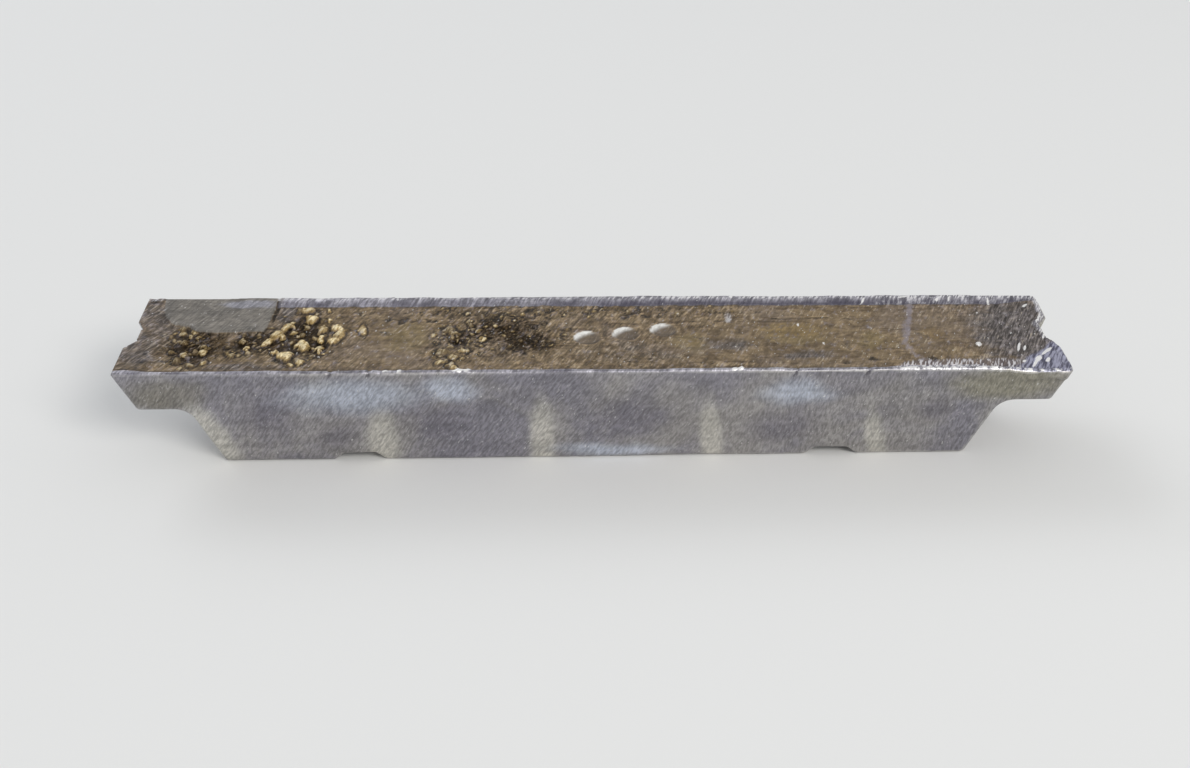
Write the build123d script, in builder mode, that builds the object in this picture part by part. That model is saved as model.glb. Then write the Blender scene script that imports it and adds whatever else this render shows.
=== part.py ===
# Lead ingot (pig) with a lifting lug at each end, cast mouth up in an open mould.
# Millimetres. The origin is the middle of the flat base, +X runs along the ingot, +Z is up.
import os
from math import radians, tan

from build123d import *

# Mould, measured at its mouth
mould_length = 600.0
mould_width = 105.0
mould_depth = 79.0
side_draft = 14.5
end_draft = 20.5

# How far the metal stopped short of the mouth at each end; the mould stood off level
short_left = 2.5
short_right = 6.5

# Lugs that overhang the body at both ends, from the mouth down
lug_depth = 33.5
lug_overhang = 31.5
lug_root_radius = 13.0
lug_end_radius = 3.0

# Rounding left by the mould's inside corners
heel_radius = 3.5
mould_radius = 3.0

# Strap recess in the middle of each lug's end, running down its full thickness
recess_mouth = 38.0
recess_floor = 19.0
recess_depth = 7.0
recess_edge_radius = 2.0

# Cross grooves in the base
groove_mouth = 34.0
groove_floor = 20.0
groove_depth = 6.0
groove_spacing = 304.0
groove_edge_radius = 2.0

# Cast surface, which sank inside a lip that froze first against the mould
lip_width = 3.0
lip_edge_radius = 1.2
sink_depth = 2.5
sink_slope = 58.0
sink_corner_radius = 12.0
sink_bend_radius = 6.0
sink_floor_radius = 3.0

# Round stamp marks in a slanting row on the cast surface
mark_diameter = 18.0
mark_depth = 2.0
mark_pitch = 25.3
mark_row_x = 20.0
mark_row_y = 1.8
mark_row_turn = 11.5

# Cuts start and end this far outside the metal
clearance = 5.0

side_slope = tan(radians(side_draft))
end_slope = tan(radians(end_draft))
end_x = mould_length / 2
lug_level = mould_depth - lug_depth
lug_tip_x = end_x - lug_depth * end_slope
lug_root_x = lug_tip_x - lug_overhang
base_end_x = lug_root_x - lug_level * end_slope

# Corners of the cast surface
left_x = -(end_x - short_left * end_slope)
right_x = end_x - short_right * end_slope
left_level = mould_depth - short_left
right_level = mould_depth - short_right
left_half_width = mould_width / 2 - short_left * side_slope
right_half_width = mould_width / 2 - short_right * side_slope

cast_fall = (left_level - right_level) / (right_x - left_x)
cast_plane = Plane(
    origin=(0, 0, left_level + left_x * cast_fall),
    x_dir=(1, 0, -cast_fall),
    z_dir=(cast_fall, 0, 1),
)


def side_profile():
    """The ingot seen from the side, lugs included."""
    return [
        (-base_end_x, 0),
        (base_end_x, 0),
        (lug_root_x, lug_level),
        (lug_tip_x, lug_level),
        (right_x, right_level),
        (left_x, left_level),
        (-lug_tip_x, lug_level),
        (-lug_root_x, lug_level),
    ]


def recess_plan(lug_end_x):
    """Plan of the strap recess in a lug that ends at this X, carried on past the end."""
    side = 1 if lug_end_x > 0 else -1
    flare = (recess_mouth - recess_floor) / 2 / recess_depth
    outer_half = recess_mouth / 2 + clearance * flare
    inner_x = lug_end_x - side * recess_depth
    outer_x = lug_end_x + side * clearance
    return [
        (inner_x, -recess_floor / 2),
        (outer_x, -outer_half),
        (outer_x, outer_half),
        (inner_x, recess_floor / 2),
    ]


def groove_profile():
    """Tapered section of one cross groove, standing on the base."""
    return [
        (-groove_mouth / 2, 0),
        (groove_mouth / 2, 0),
        (groove_floor / 2, groove_depth),
        (-groove_floor / 2, groove_depth),
    ]


with BuildPart() as ingot:
    # Side outline the full width of the mouth
    with BuildSketch(Plane.XZ) as outline:
        Polygon(*side_profile(), align=None)
        fillet(outline.vertices().group_by(Axis.Y)[1].sort_by(Axis.X)[1:3], lug_root_radius)
        fillet(outline.vertices().group_by(Axis.Y)[0], heel_radius)
    extrude(amount=mould_width / 2, both=True)

    # Drafted cross-section
    with BuildSketch(Plane.YZ):
        Trapezoid(mould_width, mould_depth, 90 - side_draft, rotation=180, align=(Align.CENTER, Align.MAX))
    extrude(amount=end_x, both=True, mode=Mode.INTERSECT)

    # Long edges of both sides below the cast surface
    for order in (0, -1):
        side_face = ingot.faces().sort_by(Axis.Y)[order]
        below_mouth = [e for e in side_face.edges() if e.bounding_box().max.Z < right_level - mould_radius]
        fillet(below_mouth, mould_radius)

    # Lug ends; the round runs on up both corners
    for order in (0, -1):
        end_face = ingot.faces().sort_by(Axis.X)[order]
        fillet(end_face.edges().sort_by(Axis.Z)[0], lug_end_radius)

    # Strap recesses, leaning with the draft
    for side in (-1, 1):
        with BuildSketch(Plane.XY.offset(mould_depth)) as recess:
            Polygon(*recess_plan(side * end_x), align=None)
            fillet([v for v in recess.vertices() if abs(v.X) < end_x], recess_edge_radius)
        extrude(amount=-(lug_depth + clearance), dir=(side * end_slope, 0, 1), mode=Mode.SUBTRACT)

    # Cross grooves
    with BuildSketch(Plane.XZ) as grooves:
        with GridLocations(groove_spacing, 0, 2, 1):
            Polygon(*groove_profile(), align=None)
        fillet(grooves.vertices().group_by(Axis.Y)[-1], groove_edge_radius)
    extrude(amount=mould_width / 2, both=True, mode=Mode.SUBTRACT)
    base_edges = ingot.edges().filter_by(Axis.Y).group_by(Axis.Z)[0].sort_by(Axis.X)
    fillet(base_edges[1:-1], groove_edge_radius)

    # Sunken cast surface, which follows the recesses round
    with BuildSketch(cast_plane) as dish:
        Polygon(
            (left_x, -left_half_width),
            (right_x, -right_half_width),
            (right_x, right_half_width),
            (left_x, left_half_width),
            align=None,
        )
        for lug_end_x in (left_x, right_x):
            Polygon(*recess_plan(lug_end_x), align=None, mode=Mode.SUBTRACT)
        offset(amount=-lip_width, kind=Kind.INTERSECTION)
        fillet(dish.vertices().sort_by(Axis.Y)[2:-2], sink_bend_radius)
        by_width = dish.vertices().sort_by(Axis.Y)
        fillet(by_width[:2] + by_width[-2:], sink_corner_radius)
    extrude(amount=-sink_depth, taper=sink_slope, mode=Mode.SUBTRACT)
    sink_floor = ingot.faces().filter_by(cast_plane).sort_by(Axis.Z)[-2]
    fillet(sink_floor.edges(), sink_floor_radius)

    # Upright edges of the recesses, then the outside edge of the lip
    recess_uprights = [
        e
        for e in ingot.edges()
        if e.bounding_box().size.Z > lug_depth / 2
        and abs(abs(e.center().Y) - recess_mouth / 2) < recess_edge_radius
    ]
    fillet(recess_uprights, recess_edge_radius)
    lip_top = ingot.faces().filter_by(cast_plane).sort_by(Axis.Z)[-1]
    fillet(lip_top.outer_wire().edges(), lip_edge_radius)

    # Stamp marks
    ball_radius = (mark_diameter**2 / 4 + mark_depth**2) / 2 / mark_depth
    with Locations(cast_plane.offset(ball_radius - mark_depth - sink_depth)):
        with Locations(Location((mark_row_x, mark_row_y, 0), (0, 0, mark_row_turn))):
            with GridLocations(mark_pitch, 0, 3, 1):
                Sphere(ball_radius, mode=Mode.SUBTRACT)

os.makedirs("parts", exist_ok=True)
ingot.part.label = "ingot"
export_step(ingot.part, "parts/ingot.step")
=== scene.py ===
import math
from types import SimpleNamespace

import bmesh
import bpy
import numpy as np
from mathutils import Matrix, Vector
from mathutils.bvhtree import BVHTree


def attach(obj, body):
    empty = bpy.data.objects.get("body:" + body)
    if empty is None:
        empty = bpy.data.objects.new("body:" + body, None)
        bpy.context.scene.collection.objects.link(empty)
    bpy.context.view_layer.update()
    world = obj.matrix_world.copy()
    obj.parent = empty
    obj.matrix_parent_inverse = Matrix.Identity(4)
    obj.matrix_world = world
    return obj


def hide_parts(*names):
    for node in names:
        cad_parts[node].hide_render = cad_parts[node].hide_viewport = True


MM = 0.001

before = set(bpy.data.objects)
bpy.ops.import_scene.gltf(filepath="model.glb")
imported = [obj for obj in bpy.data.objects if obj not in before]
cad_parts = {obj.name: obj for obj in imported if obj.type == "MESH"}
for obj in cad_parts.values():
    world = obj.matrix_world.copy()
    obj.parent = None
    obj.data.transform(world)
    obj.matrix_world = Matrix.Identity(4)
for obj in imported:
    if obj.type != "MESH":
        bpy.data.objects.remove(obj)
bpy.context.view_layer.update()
cad_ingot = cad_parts["ingot"]

# Cast face: its height at both ends, how far the middle sank below the lip, and half its width
LEFT_END, RIGHT_END = -299.0, 297.6
LEFT_LEVEL, RIGHT_LEVEL = 76.5, 72.5
SINK = 2.5
HALF_WIDTH = 51.3

# How far down from the lip the relief and the facet reach, and the height that nothing passes
TOP_DEPTH, FACET_DEPTH = 6.0, 8.0
TOP_LIMIT = 77.6

# Skin of the visual mesh: its cells, halved on the cast face and along edges, and again in fine areas
CELL = 2.6
WELD_DISTANCE = 0.01
FINE_DEPTH = 5.0
EDGE_BEND = math.radians(14)
FINE_AREAS = [
    (-258, -13, 16, 30), (-222, -10, 16, 16), (-186, 2, 30, 42), (-150, 10, 6, 12), (-88, -4, 18, 36),
    (-54, 2, 22, 26), (281, -28, 16, 24),
]
SEED = 11

# How far the borders of all areas wander, the size of their bends, and how much more the ovals' do
WOBBLE, WOBBLE_SIZE = 2.2, 9
WOBBLE_TWO, WOBBLE_TWO_SIZE = 1.8, 8
AREA_WOBBLE = 1.4

# Ends that are filled up to the lip: where each fades out, and how full it is
LEFT_FILL, LEFT_FILL_SHARE = (-288, -270), 0.85
RIGHT_FILL, RIGHT_FILL_SHARE = (268, 286), 0.8

# Depth below the lip at which the sunken floor begins
FLOOR_DEPTH = (0.9, 2.1)

# Skimmed patch at the left end: smooth metal almost up to the lip, with a sharp right edge
PATCH = [
    (-286, 60), (-283, 35), (-279.5, 25), (-273, 16), (-261, 12), (-257, 6),
    (-242, 5), (-212.5, 5.5), (-210.4, 24), (-209.4, 41), (-211, 60),
]
PATCH_BELOW_LIP = 0.5
PATCH_SOFT = 0.7
PATCH_SHEEN = (-227, 42.5, 25, 7)

# Gap beside the patch's right edge, carved and painted dark as shadow, and the pale rim inside its left
# edge
GAP_LEFT, GAP_START = -213, (18, 26)
RIM_RIGHT = -255

# Dross nodules: x, y, half length, half width, turn in degrees, height
NODULES = [
    (-265.5, 8.5, 2.6, 4.4, 0, 2.6), (-258.6, 1.5, 2.2, 2.6, 0, 1.6),
    (-261.5, -8.0, 3.0, 4.0, 0, 1.8), (-248.5, -14.0, 3.8, 3.4, 0, 3.3),
    (-247.4, -20.5, 4.2, 4.0, 10, 2.8), (-267.0, -20.4, 2.4, 3.6, 0, 2.4),
    (-259.4, -23.5, 2.6, 3.4, 0, 2.4), (-260.6, -32.0, 3.0, 5.2, 10, 2.8),
    (-252.5, -37.5, 2.6, 3.2, 0, 1.8), (-244.5, -34.0, 3.4, 2.4, 0, 1.6),
    (-225.0, -7.0, 3.4, 3.4, 0, 2.6), (-220.6, -15.5, 4.6, 2.4, 80, 2.2),
    (-229.0, -25.0, 3.0, 3.0, 0, 1.6), (-208.6, -9.5, 8.0, 3.4, 63, 2.8),
    (-203.6, 0.5, 9.0, 5.0, 63, 3.4), (-198.6, 11.5, 8.0, 3.8, 62, 2.8),
    (-187.5, 35.0, 5.5, 4.6, 10, 2.4), (-184.4, 21.5, 5.2, 6.0, 0, 3.4),
    (-175.0, 34.5, 1.8, 3.2, 0, 1.8), (-172.0, 21.0, 2.0, 3.0, 0, 1.8),
    (-175.0, 7.0, 3.8, 5.6, 0, 2.8), (-167.5, 10.0, 4.2, 5.2, 20, 2.8),
    (-164.0, 1.0, 3.6, 7.5, -10, 2.8), (-167.5, -7.8, 4.2, 4.4, 0, 2.6),
    (-175.2, -5.0, 3.6, 5.4, 0, 3.0), (-185.0, -13.5, 10.0, 4.8, -68, 3.8),
    (-195.0, -27.0, 5.8, 6.4, 0, 3.6), (-201.5, -22.0, 3.2, 3.0, 0, 2.2),
    (-174.4, -20.5, 1.8, 6.5, 0, 2.4), (-190.6, -38.5, 3.0, 2.6, 0, 2.0),
    (-184.5, -34.5, 3.0, 3.6, 0, 2.0), (-149.4, 8.0, 3.2, 10.0, 5, 1.5),
    (-94.0, 9.0, 4.0, 7.0, 0, 1.5), (-97.0, -22.0, 4.2, 5.6, 0, 1.8),
    (-90.0, -29.0, 4.0, 3.4, 0, 1.6), (-84.0, -20.0, 4.0, 3.0, 0, 1.4),
    (-98.5, -35.0, 3.0, 3.0, 0, 1.4), (-80.0, 13.5, 2.6, 4.4, 0, 1.9),
]
KNOBS_PER_NODULE = 3

# How golden the nodules are: the ones between these two places are lighter than the others
LIGHT_DROSS = (-215.0, -140.0)
LIGHT_GOLD, DULL_GOLD = (0.65, 1), (0.1, 0.75)

# Smaller lumps of dross: the oval they lie in, how many, their largest half size, how golden they are
CRUMBS = [
    ((-257, -12, 16, 28), 56, 2.6, 0.0),
    ((-222, -10, 14, 15), 30, 2.4, 0.05),
    ((-188, 0, 25, 38), 76, 2.6, 0.15),
    ((-88, -8, 17, 34), 80, 2.1, 0.25),
    ((-50, 2, 36, 32), 130, 1.7, 0.03),
    ((-10, 33, 100, 9), 150, 1.6, 0.12),
    ((20, -34, 90, 9), 50, 1.3, 0.08),
]

# The lumps' outlines are broken up by this much, in bends of this size
LUMP_WOBBLE, LUMP_WOBBLE_SIZE = 0.85, 3.1

# The cast face's pull marks lean this far from square across, and are this much longer than wide
LEAN = 24.0
LEAN_STRETCH = 2.4

# Oval areas on the cast face: x, y, half length, half width
PITTED = [(-257, -12, 15, 28), (-222, -8, 13, 14), (-191, 2, 13, 34), (-177, -12, 8, 18), (-86, -2, 9, 10)]
POOL = (-236, -10, 9, 13)
ROUGH = [(-58, 0, 46, 40), (-90, -6, 24, 44), (-20, 34, 110, 16), (-120, 28, 50, 18)]
CALM_CRUST = [(165, 0, 105, 60), (-128, 0, 26, 50), (76, -14, 46, 30), (-236, -10, 8, 12)]
DARK_CRUST = [
    (-86, -2, 12, 11), (-60, 8, 34, 26), (-44, -6, 30, 26), (-248, -12, 34, 34), (-206, -8, 18, 24),
    (-188, 2, 22, 36),
]
GOLD_CRUST = [
    (-94, 11, 12, 14), (-92, -26, 22, 16), (218, 0, 14, 13), (130, 6, 36, 18), (-176, 4, 24, 34),
    (-150, 8, 9, 16),
]
OLIVE_CRUST = [(130, 0, 34, 24), (60, -10, 20, 20), (-120, 0, 24, 30), (178, -8, 16, 20)]
DARK_SPOTS = [
    (156, -35, 6, 4), (175, -33, 7, 3.5), (212, -34, 10, 6), (-291, 47, 6, 7), (-86, -3, 8, 8),
    (-190, 4, 6, 14),
]
PALE_STAIN = (87.5, 24.0, 5.0, 10.0)
BRIGHT_DOT = (245.0, -14.6, 2.6, 3.4)

# Grey areas of the crust: how grey, how soft their borders are, and their ovals
GREY_CRUST = [
    (0.7, 0.8, [(84, -14, 26, 15), (134, -27, 32, 10), (-220, -40, 40, 9), (-202, 32, 9, 22)]),
    (0.6, 0.7, [(-292, 0, 34, 80)]),
    (0.36, 0.8, [(24, -24, 78, 24)]),
    (1.0, 0.7, [(276, 0, 50, 70)]),
]

# Crease in the skin of the crust, carved and painted darker as shade
CREASE = [(115, 22.4), (133, 22.9), (153, 23.4)]

# Seam where two flows of metal met near the right end: its course and half width, and where it fades
SEAM = [(210.5, 42), (206.5, 20), (201.5, 4), (198.3, -13), (200, -25), (206, -32), (214, -38)]
SEAM_HALF_WIDTH = 3.6
SEAM_FADE = (-26, -6)

# Facet worn on the front corner at the right end, and how far its corner dropped
FACET = [(255, -47), (264, -41), (277, -27), (285, -21), (292, -12), (303, -14), (303, -60), (255, -60)]
FACET_DROP = 2.6

# Bright scrapes: x, y, half length, half width, turn in degrees; the right half, then both lips
SCRAPES = [
    (276.0, -37.5, 7.5, 1.2, 58), (285.5, -26.0, 7.5, 1.3, 46), (278.5, -34.0, 4.0, 2.0, 56),
    (284.0, -35.5, 3.4, 1.4, 55), (268.6, -37.0, 2.0, 1.0, 60), (269.6, -19.0, 7.0, 0.9, 70),
    (273.0, -20.5, 3.2, 0.9, 62), (288.6, -7.0, 7.0, 0.9, 68), (291.5, 4.0, 9.0, 1.1, 70),
    (291.6, 18.0, 8.0, 1.0, 74), (286.5, 35.0, 3.5, 1.1, 50), (263.8, 43.0, 5.0, 0.9, 80),
    (238.0, 45.5, 3.5, 0.8, 70), (230.0, 45.0, 2.4, 1.1, 60), (132.6, 12.8, 2.6, 0.8, 75),
    (146.0, -11.6, 2.0, 0.8, 75), (180.0, 44.0, 4.5, 0.8, 62), (208.0, 48.0, 4.0, 1.2, 20),
    (-129.0, 49.5, 4.0, 0.6, 75), (-110.5, 50.0, 4.0, 0.6, 98), (92.0, 49.5, 3.6, 1.3, 85),
    (-78.0, 50.0, 3.6, 0.8, 60), (-70.5, 51.0, 3.2, 0.8, 48), (85.5, -48.6, 2.6, 1.3, 80),
    (89.5, -48.6, 2.6, 0.9, 82), (-87.0, -48.8, 3.6, 1.3, 18), (-130.5, -48.2, 3.0, 0.8, 78),
    (-122.5, -48.0, 3.2, 0.8, 84),
]

# The back half of the left end lies this much further in than the front half
LEFT_LOBE_IN = 2.6
LEFT_LOBE_X, LEFT_LOBE_Y = (-298, -276), (4, 20)

# Silver bank along the back lip: where it rises, how wide its own edge is and where it begins on the left
BANK = (40.8, 47.5)
BACK_LIP = (40.8, 42.0)
BACK_LIP_LEFT = (-215, -196)

# Painted shade at the foot and bare crest of the bank, and where both grow stronger to the right
BANK_FOOT, BANK_CREST = (43.2, 46.4), (45.0, 48.5)
BANK_GROWS = (-60, 60)

# Front lip: its inner border, the line of painted shade along its foot, and how much wider the bright
# metal spreads near the right end
FRONT_LIP = (-46.2, -48.0)
FRONT_LIP_GROOVE = -45.4
LIP_SPREAD = 6.0
SPREAD_START, SPREAD_END = (158, 196), (236, 262)

# Right lip: its inner border, and the bare rim that follows the recess round
RIGHT_LIP, RIGHT_LIP_SHARE = (290.5, 294.5), 0.8
RIM_AT_RECESS, RIM_BESIDE_RECESS, RECESS_SIDE = 290.5, 6.5, (8, 20)
RIM_WIDTH = (-6.0, -2.0)

# Burrs and nicks in the front lip: x and half width; the right part is rough all along
BURRS = [(-130.5, 2.2), (-122.5, 1.7), (-86, 2.8), (-82, 1.5), (85, 2.4), (88.5, 1.8)]
NICKS = [(-165, 2.0), (-141, 1.6), (124, 1.0), (169, 1.6)]
ROUGH_LIP = (182.0, 192.0)

# Comb of pull marks inside the front lip near the right end: how far it reaches, and both its ends
COMB_REACH, COMB_REACH_RIGHT, COMB_WIDENS = -44, -32, (176, 205)
COMB_LEFT, COMB_RIGHT = (170, 190), (262, 270)

# Stamp marks, as the CAD part places them, and the arc of bare metal with a painted highlight on their
# upper left side, which faces the key light
MARKS = [(-4.8, -3.2), (20.0, 1.8), (44.8, 6.8)]
MARK_RADIUS = 9.0
ARC_TOWARDS = math.radians(132)
ARC_WIDTH = 0.55

# Relief in millimetres: crust, pits, lumps and the small features on the cast face
CRUST_LUMPS, CRUST_GRAIN, CRUST_RIPPLE = 0.16, 0.13, 0.14
PIT_WAVES, PIT_DEPTH = 0.8, 0.7
HOLLOW_WAVES, HOLLOW_RAISE = 0.9, 0.1
SEAM_RISE, DOT_RISE, SCRAPE_RISE = 0.35, 0.9, 0.35
GAP_DEPTH, CREASE_DEPTH, SPOT_DEPTH = 0.8, 0.5, 0.5
PATCH_WAVES, LIP_WAVES, LIP_RIPPLE = 0.1, 0.35, 0.22
BURR_RISE = 1.1
FACET_WAVES = 0.35

# Relief of the mould sides
SIDE_WAVES, SIDE_RIPPLE = 0.35, 0.1
NICK_DEPTH = 0.8

# Soft clouds on the mould sides: x, height, half length, half height, turn; the back has them shifted
# Tall soft bands of painted light
WARM_CLOUDS = [
    (-243, 21, 19, 52, 20), (-137, 16, 16, 48), (-35, 16, 13, 58), (73, 14, 12, 54, 6),
    (181, 12, 9, 50, 13),
]
OLIVE_CLOUDS = [(-268, 58, 44, 24), (258, 62, 64, 24)]
BLUE_CLOUDS = [(-151, 55, 66, 20), (126, 54, 34, 16), (10, 6, 52, 9), (-92, 60, 26, 15)]
DARK_CLOUDS = [
    (-208, 42, 22, 26), (-166, 20, 20, 16), (20, 36, 44, 22), (-100, 30, 34, 22), (118, 24, 34, 18),
    (215, 38, 18, 16),
]
CLOUD_WARP, CLOUD_RISE_WARP = 1.6, 4
CLOUD_SOFT = 0.85
BACK_SHIFT = 47.0
BACK_BLEND = (-22, 22)

# Masks that the material reads as they are
PLAIN_MASKS = ("lip", "patch", "knob", "golden", "grey", "olive", "seam", "calm", "comb", "nick")

# Colours of the mould sides, as seen on a screen: the light of the bands is painted light, the edge colour
# a painted highlight and the nick colour painted shade
SIDE_DARK, SIDE_LIGHT, SIDE_DIM = (136, 134, 142), (151, 148, 147), (114, 111, 121)
SIDE_OLIVE_LEFT, SIDE_OLIVE_RIGHT = (124, 120, 110), (146, 142, 123)
SIDE_WARM, SIDE_BLUE = (195, 192, 184), (184, 190, 203)
SIDE_SCRATCH, SIDE_NICK, SIDE_EDGE = (204, 202, 202), (66, 62, 68), (196, 194, 190)

# Colours of the crust on the cast face
BROWN_DARK, BROWN_LIGHT = (96, 80, 58), (140, 121, 93)
BROWN_CLOUD, BROWN_FLOW = (122, 108, 94), (82, 66, 48)
GOLD_LIGHT, GOLD_DARK = (146, 122, 78), (96, 77, 48)
PIT_DARK, PIT_LIGHT, PIT_FLOOR = (26, 20, 13), (72, 57, 38), (36, 27, 16)
VIOLET_DARK, VIOLET_LIGHT = (64, 60, 61), (107, 102, 102)
CRUST_OLIVE, CRUST_GRIT = (130, 114, 74), (186, 174, 152)

# Colours of the lumps of dross, dull and golden: painted shade at the foot, painted highlight on top
LUMP_FOOT, LUMP_FOOT_IN_PIT = (80, 65, 45), (34, 26, 16)
LUMP_FLANK, LUMP_FLANK_GOLDEN = (74, 61, 42), (174, 148, 99)
LUMP_TOP, LUMP_TOP_GOLDEN = (120, 104, 80), (240, 223, 180)

# Colours of the stamp marks, patch, lip, bank, seam, facet and comb; the marks' arc is a painted
# highlight, and the marks' and the bank's shade colours are painted shade
MARK_RUBBED, MARK_SHADE, MARK_ARC = (98, 88, 78), (70, 60, 50), (234, 233, 229)
PATCH_LIGHT, PATCH_DARK, PATCH_BLUE = (120, 115, 108), (102, 98, 93), (148, 148, 158)
SILVER_DARK, SILVER_LIGHT, BARE_WHITE = (116, 114, 124), (160, 158, 166), (236, 235, 234)
BANK_SHADE, SEAM_VIOLET = (72, 68, 82), (138, 133, 144)
FACET_DARK, FACET_LIGHT = (84, 84, 102), (162, 163, 184)
COMB_SHADE, COMB_LIGHT = (92, 87, 98), (210, 207, 210)

# Gloss, and the white dust that lightens the clean metal and the crust
WHITE = (255, 255, 255)
SPECULAR_LEVEL = 0.05
CLEAN_METALLIC, CRUST_METALLIC = 0.7, 0.1
CLEAN_ROUGHNESS, CRUST_ROUGHNESS = (0.34, 0.5), 0.68
CLEAN_DUST, CRUST_DUST = 0.008, 0.024

# Studio, in metres: floor, lamps as place, size, power and colour, and the photograph's camera
LAMP_AIM = (0.0, 0.0, 0.04)
FLOOR_HALF_SIZE, FLOOR_DROP = 6.0, 0.0002
FLOOR_COLOUR, FLOOR_ROUGHNESS = (0.78, 0.78, 0.77, 1), 0.9
SKY_LIGHT, SKY_STRENGTH, SKY_SEEN = (0.95, 0.97, 1.0, 1), 0.55, (0.8, 0.8, 0.8, 1)
LAMPS = {
    "key": ((3.0, -4.8, 4.05), (3.0, 2.1), 270, (1.0, 0.98, 0.94)),
    "back_fill": ((-3.6, 3.9, 3.9), (4.2, 3.0), 108, (0.93, 0.96, 1.0)),
}
CAMERA_PLACE, CAMERA_AIM = (-0.0220, -0.9369, 0.5747), (0.0, 0.0, 0.036)
CAMERA_SENSOR, CAMERA_LENS = 36.0, 50.0


def smoothstep(low, high, value):
    """0 below low, 1 above high and a smooth rise between."""
    t = np.clip((value - low) / (high - low), 0, 1)
    return t * t * (3 - 2 * t)


def corner_hash(cell, seed):
    """A repeatable random number from 0 to 1 for each whole-number cell."""
    h = cell[:, 0] * 374761393 + cell[:, 1] * 668265263 + cell[:, 2] * 1440662683 + seed * 69069
    h = (h ^ (h >> 13)) * 1274126177 & 0xFFFFFFFF
    h = (h ^ (h >> 16)) * 2246822519 & 0xFFFFFFFF
    return ((h >> 7) & 0xFFFF) / 65535.0


def noise(points, size, seed):
    """Smooth noise from -1 to 1 whose lumps are about size across."""
    p = points / size + seed * 17.31
    cell = np.floor(p).astype(np.int64)
    f = p - cell
    f = f * f * f * (f * (f * 6 - 15) + 10)
    total = np.zeros(len(p))
    for corner in range(8):
        step = np.array([corner & 1, corner >> 1 & 1, corner >> 2 & 1])
        weight = np.prod(np.where(step == 1, f, 1 - f), axis=1)
        total += weight * corner_hash(cell + step, seed)
    return total * 2 - 1


def layered_noise(points, size, seed, layers=3):
    """Noise with finer layers on it, each half as large and half as strong."""
    total = np.zeros(len(points))
    for layer in range(layers):
        total += noise(points, size / 2**layer, seed + layer) / 2**layer
    return total


def cast_level(x):
    """Height of the lip at X, all in millimetres."""
    t = (x - LEFT_END) / (RIGHT_END - LEFT_END)
    return LEFT_LEVEL + (RIGHT_LEVEL - LEFT_LEVEL) * t


def oval_radius(x, y, centre_x, centre_y, half_length, half_width, turn=0.0):
    """Distance from the middle of an oval, 1 at its rim."""
    c, s = math.cos(math.radians(turn)), math.sin(math.radians(turn))
    u = ((x - centre_x) * c + (y - centre_y) * s) / half_length
    v = (-(x - centre_x) * s + (y - centre_y) * c) / half_width
    return np.hypot(u, v)


def ovals(x, y, areas, soft=0.6, rim=1.0):
    """1 inside any of the ovals, falling to 0 over the soft part up to their rims."""
    total = np.zeros(len(x))
    for area in areas:
        total = np.maximum(total, 1 - smoothstep(rim - soft, rim, oval_radius(x, y, *area)))
    return total


def leaning(points):
    """The points drawn together along the pull marks, so that noise runs the way they do."""
    c, s = math.cos(math.radians(LEAN)), math.sin(math.radians(LEAN))
    across = points[:, 0] * c - points[:, 1] * s
    along = points[:, 0] * s + points[:, 1] * c
    return np.column_stack([across, along / LEAN_STRETCH, points[:, 2]])


def polygon_depth(x, y, corners):
    """Distance inside a closed outline, negative outside it."""
    inside = np.zeros(len(x), bool)
    for (ax, ay), (bx, by) in zip(corners, corners[1:] + corners[:1]):
        crosses = (ay > y) != (by > y)
        inside ^= crosses & (x < ax + (y - ay) / ((by - ay) or 1e-9) * (bx - ax))
    nearest = path_distance(x, y, corners + corners[:1])
    return np.where(inside, nearest, -nearest)


def path_distance(x, y, path):
    """Distance to a course of straight lines."""
    nearest = np.full(len(x), 1e9)
    for (ax, ay), (bx, by) in zip(path, path[1:]):
        ex, ey = bx - ax, by - ay
        t = np.clip(((x - ax) * ex + (y - ay) * ey) / (ex * ex + ey * ey), 0, 1)
        nearest = np.minimum(nearest, np.hypot(x - ax - t * ex, y - ay - t * ey))
    return nearest


def read_mesh(mesh):
    """Corner points of a mesh in millimetres."""
    points = np.zeros(len(mesh.vertices) * 3)
    mesh.vertices.foreach_get("co", points)
    return points.reshape(-1, 3) / MM


def vertex_normals(mesh):
    """Direction that the mesh faces at each corner point."""
    normals = np.zeros(len(mesh.vertices) * 3)
    mesh.vertex_normals.foreach_get("vector", normals)
    return normals.reshape(-1, 3)


def on_cast_face(middles):
    """Picks the faces near the level of the lip."""
    return cast_level(middles[:, 0]) - middles[:, 2] < FINE_DEPTH


def cast_face_or_edge(middles, bends):
    """Picks the cast face and all bent edges."""
    return on_cast_face(middles) | (bends > EDGE_BEND)


def fine_areas(middles, bends):
    """Picks the parts of the cast face with the finest relief."""
    return on_cast_face(middles) & (ovals(middles[:, 0], middles[:, 1], FINE_AREAS) > 0)


def add_object(name, data):
    """A new object in the scene."""
    thing = bpy.data.objects.new(name, data)
    bpy.context.scene.collection.objects.link(thing)
    return thing


def halve_cells(mesh, wanted):
    """Splits the wanted faces into four, picked by their middles and how much their edges bend."""
    work = bmesh.new()
    work.from_mesh(mesh)
    middles = np.array([face.calc_center_median() for face in work.faces]) / MM
    bends = np.array([max(edge.calc_face_angle(0.0) for edge in face.edges) for face in work.faces])
    hits = wanted(middles, bends)
    edges = {edge.index: edge for face, hit in zip(work.faces, hits) if hit for edge in face.edges}
    bmesh.ops.subdivide_edges(work, edges=[edges[i] for i in sorted(edges)], cuts=1, use_grid_fill=True)
    work.to_mesh(mesh)
    work.free()


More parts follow.
